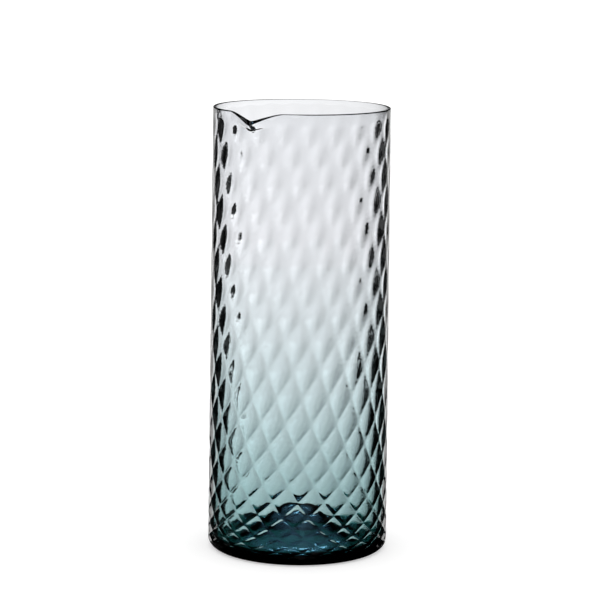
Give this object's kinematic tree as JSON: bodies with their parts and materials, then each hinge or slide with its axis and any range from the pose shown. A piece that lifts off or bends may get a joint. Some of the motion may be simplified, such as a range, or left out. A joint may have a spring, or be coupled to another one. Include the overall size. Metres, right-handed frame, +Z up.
{
  "type": "carafe",
  "caption": "Tall hand-blown glass carafe with a twisted diamond optic and a pinched pouring lip, clear at the rim and deepening to dark blue in a thick pushed-up foot.",
  "frame": {"origin": "on the table, under the axis of the body", "axes": "+Z up along the axis of the body, -Y towards the pouring lip"},
  "size_m": [0.1014, 0.104, 0.25],
  "materials": {
    "clear_glass": "fire-polished clear glass with a faint cool grey cast",
    "blue_glass": "transparent teal-blue glass, nearly black where it is thick"
  },
  "bodies": {
    "root": {"clear_glass_body": "clear_glass", "blue_glass_gather": "blue_glass"}
  },
  "joints": []
}
